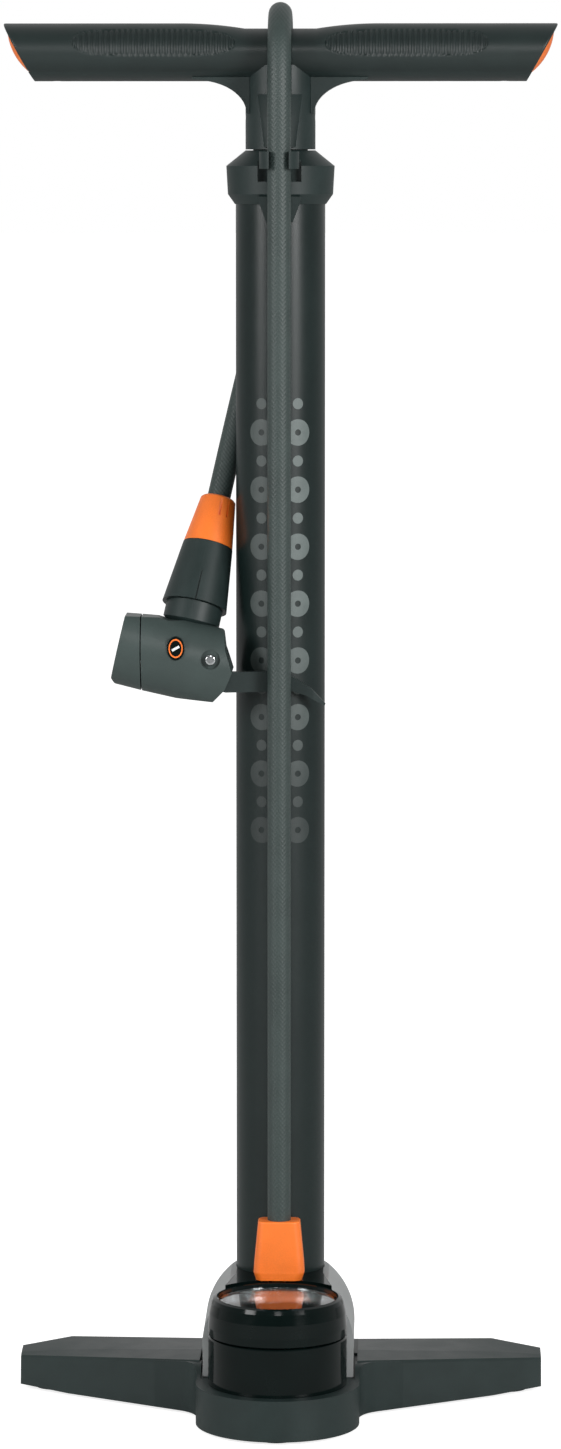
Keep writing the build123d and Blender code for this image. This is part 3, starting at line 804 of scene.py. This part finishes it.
# ---------------------------------------------------------------- add-on
def measure(title, text, size):
    """A length property, from its size in mm."""
    return bpy.props.FloatProperty(
        name=title, description=text, default=size * MM, unit="LENGTH", precision=5
    )


class PumpSizes(bpy.types.PropertyGroup):
    hose_diameter: measure("Hose diameter", "Outside diameter of the hose", 10.5)
    rib_pitch: measure("Rib pitch", "Distance between grip ribs", 2.45)
    rib_height: measure("Rib height", "How far grip ribs stand up", 0.9)
    disc_radius: measure("Disc radius", "Radius of the large printed discs", 5.9)
    spring_wire: measure("Spring wire", "Diameter of the valve spring's wire", 0.6)
    spring_pitch: measure("Spring pitch", "Rise of the valve spring in one turn", 1.1)
    ink_height: measure("Ink height", "How far dial and badge marks stand up", 0.05)


def tint(title, text, code):
    """A colour property."""
    return bpy.props.FloatVectorProperty(
        name=title, description=text, default=linear(code), subtype="COLOR", size=4, min=0.0, max=1.0
    )


class PumpColours(bpy.types.PropertyGroup):
    nylon: tint("Nylon", "Foot, stem, collar and the head's sleeve", "#1d2928")
    tube: tint("Tube", "The barrel's powder coat", "#131f1e")
    hose: tint("Hose", "The hose's rubber", "#313c3a")
    head: tint("Head", "Body and cap of the pump head", "#35403e")
    grip: tint("Grip", "The soft grips", "#172221")
    orange: tint("Orange", "Boot, ferrule and badge ring", "#ee7324")
    gloss: tint("Gloss", "Gauge housing, bezel and the plate behind it", "#07100f")
    # The shroud's grey is a painted reflection: the plastic is dark and catches the white surroundings at
    # grazing angles.
    shroud_painted_reflection: tint("Shroud", "The grey base cover", "#8b8e8e")
    dial: tint("Dial", "The dial's ground", "#c2c6c4")
    ink: tint("Ink", "Dial ticks and numbers", "#15191a")
    needle: tint("Needle", "The gauge needle", "#dd5a1e")
    print_ink: tint("Print", "Marks on the barrel", "#616b69")


class PUMP_OT_stage(bpy.types.Operator):
    """Makes the floor, the lights and the camera"""

    bl_idname = "pump.stage"
    bl_label = "Stage"

    def execute(self, context):
        build_stage()
        return {"FINISHED"}


class PUMP_OT_finishes(bpy.types.Operator):
    """Gives the CAD nodes their finishes"""

    bl_idname = "pump.finishes"
    bl_label = "Finishes"

    def execute(self, context):
        build_finishes()
        return {"FINISHED"}


class PUMP_OT_hose(bpy.types.Operator):
    """Makes the hose"""

    bl_idname = "pump.hose"
    bl_label = "Hose"

    def execute(self, context):
        build_hose(context.scene.pump_sizes)
        return {"FINISHED"}


class PUMP_OT_grips(bpy.types.Operator):
    """Makes the ribbed grips"""

    bl_idname = "pump.grips"
    bl_label = "Grips"

    def execute(self, context):
        build_grips(context.scene.pump_sizes)
        return {"FINISHED"}


class PUMP_OT_print(bpy.types.Operator):
    """Makes the marks printed on the barrel"""

    bl_idname = "pump.barrel_print"
    bl_label = "Barrel print"

    def execute(self, context):
        build_print(context.scene.pump_sizes)
        return {"FINISHED"}


class PUMP_OT_dial(bpy.types.Operator):
    """Makes the ticks and numbers on the gauge's dial"""

    bl_idname = "pump.dial_marks"
    bl_label = "Dial marks"

    def execute(self, context):
        build_dial(context.scene.pump_sizes)
        return {"FINISHED"}


class PUMP_OT_badge(bpy.types.Operator):
    """Makes the decoration on the head's badge"""

    bl_idname = "pump.badge"
    bl_label = "Badge"

    def execute(self, context):
        build_badge(context.scene.pump_sizes)
        return {"FINISHED"}


class PUMP_OT_spring(bpy.types.Operator):
    """Makes the check valve's spring"""

    bl_idname = "pump.valve_spring"
    bl_label = "Valve spring"

    def execute(self, context):
        build_spring(context.scene.pump_sizes)
        return {"FINISHED"}


OPERATORS = (
    PUMP_OT_stage, PUMP_OT_finishes, PUMP_OT_hose, PUMP_OT_grips, PUMP_OT_print, PUMP_OT_dial, PUMP_OT_badge,
    PUMP_OT_spring,
)


class PUMP_PT_panel(bpy.types.Panel):
    """Lists the pump's sizes and the steps that build it"""

    bl_idname = "PUMP_PT_panel"
    bl_label = "Floor Pump"
    bl_space_type = "VIEW_3D"
    bl_region_type = "UI"
    bl_category = "Floor Pump"

    def draw(self, context):
        for group in (context.scene.pump_sizes, context.scene.pump_colours):
            for name in type(group).__annotations__:
                self.layout.prop(group, name)
        for operator in OPERATORS:
            self.layout.operator(operator.bl_idname)


def register():
    for made in (PumpSizes, PumpColours, *OPERATORS, PUMP_PT_panel):
        bpy.utils.register_class(made)
    bpy.types.Scene.pump_sizes = bpy.props.PointerProperty(type=PumpSizes)
    bpy.types.Scene.pump_colours = bpy.props.PointerProperty(type=PumpColours)


def unregister():
    del bpy.types.Scene.pump_sizes
    del bpy.types.Scene.pump_colours
    for made in (PUMP_PT_panel, *reversed(OPERATORS), PumpColours, PumpSizes):
        bpy.utils.unregister_class(made)


def main():
    register()
    bpy.ops.pump.stage()
    bpy.ops.pump.finishes()
    bpy.ops.pump.hose()
    bpy.ops.pump.grips()
    bpy.ops.pump.barrel_print()
    bpy.ops.pump.dial_marks()
    bpy.ops.pump.badge()
    bpy.ops.pump.valve_spring()


if __name__ == "__main__":
    main()
